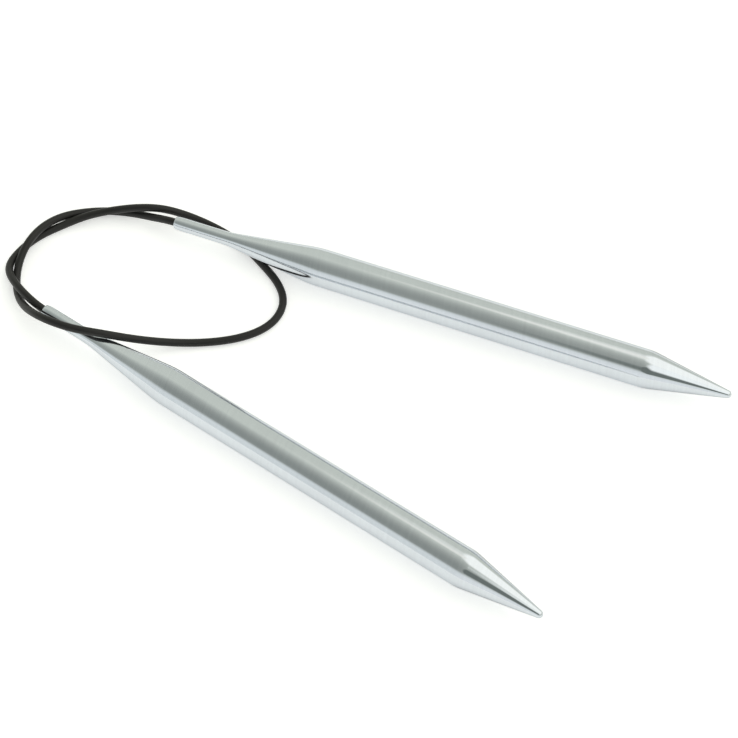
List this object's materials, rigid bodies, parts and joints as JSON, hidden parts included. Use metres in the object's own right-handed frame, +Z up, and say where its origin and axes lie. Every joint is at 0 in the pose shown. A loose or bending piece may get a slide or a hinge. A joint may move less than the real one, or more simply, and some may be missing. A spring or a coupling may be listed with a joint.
{
  "type": "circular knitting needle",
  "caption": "Two hollow metal knitting needles with tapered necks and conical points, joined neck to neck by a flexible black plastic cord that lies in a crossed loop.",
  "frame": {"origin": "middle of the two needles' outline, on the surface that they lie on", "axes": "+X along the bisector of the needles towards their points, +Y towards the far needle, +Z up"},
  "size_m": [0.1658, 0.0738, 0.0094],
  "materials": {
    "nickel": "satin nickel plate",
    "cord": "satin"
  },
  "bodies": {
    "cord_loop": {"cord_outer_turn": "cord", "cord_right_bend": "cord", "cord_rise": "cord", "cord_inner_turn": "cord"},
    "near_link": {"near_cord_lift_flex": "cord", "cord_crest": "cord", "cord_drop": "cord"},
    "near_needle": {"near_needle": "nickel", "near_cord_end": "cord", "near_cord_swing_flex": "cord"},
    "far_link": {"far_cord_swing_flex": "cord"},
    "far_needle": {"far_needle": "nickel", "far_cord_end": "cord", "far_cord_lift_flex": "cord"}
  },
  "joints": [
    {"name": "near_lift", "type": "hinge", "parent": "cord_loop", "child": "near_link", "pos_m": [-0.08145, -0.01607, 0.00459], "axis": [-0.1245, -0.9922, 0], "range_deg": [0, 25], "stiffness_Nm_per_rad": 0.05, "deforming": ["near_cord_lift_flex", "cord_rise", "cord_drop"]},
    {"name": "near_swing", "type": "hinge", "parent": "near_link", "child": "near_needle", "pos_m": [-0.07659, -0.01758, 0.00459], "axis": [0, 0, 1], "range_deg": [-25, 0], "stiffness_Nm_per_rad": 0.05, "deforming": ["near_cord_swing_flex"]},
    {"name": "far_swing", "type": "hinge", "parent": "cord_loop", "child": "far_link", "pos_m": [-0.06788, 0.01779, 0.00251], "axis": [0, 0, 1], "range_deg": [0, 15], "stiffness_Nm_per_rad": 0.05, "deforming": ["far_cord_swing_flex"]},
    {"name": "far_lift", "type": "hinge", "parent": "far_link", "child": "far_needle", "pos_m": [-0.06305, 0.0178, 0.00415], "axis": [0.1245, -0.9922, 0], "range_deg": [0, 25], "stiffness_Nm_per_rad": 0.05, "deforming": ["far_cord_lift_flex"]}
  ]
}
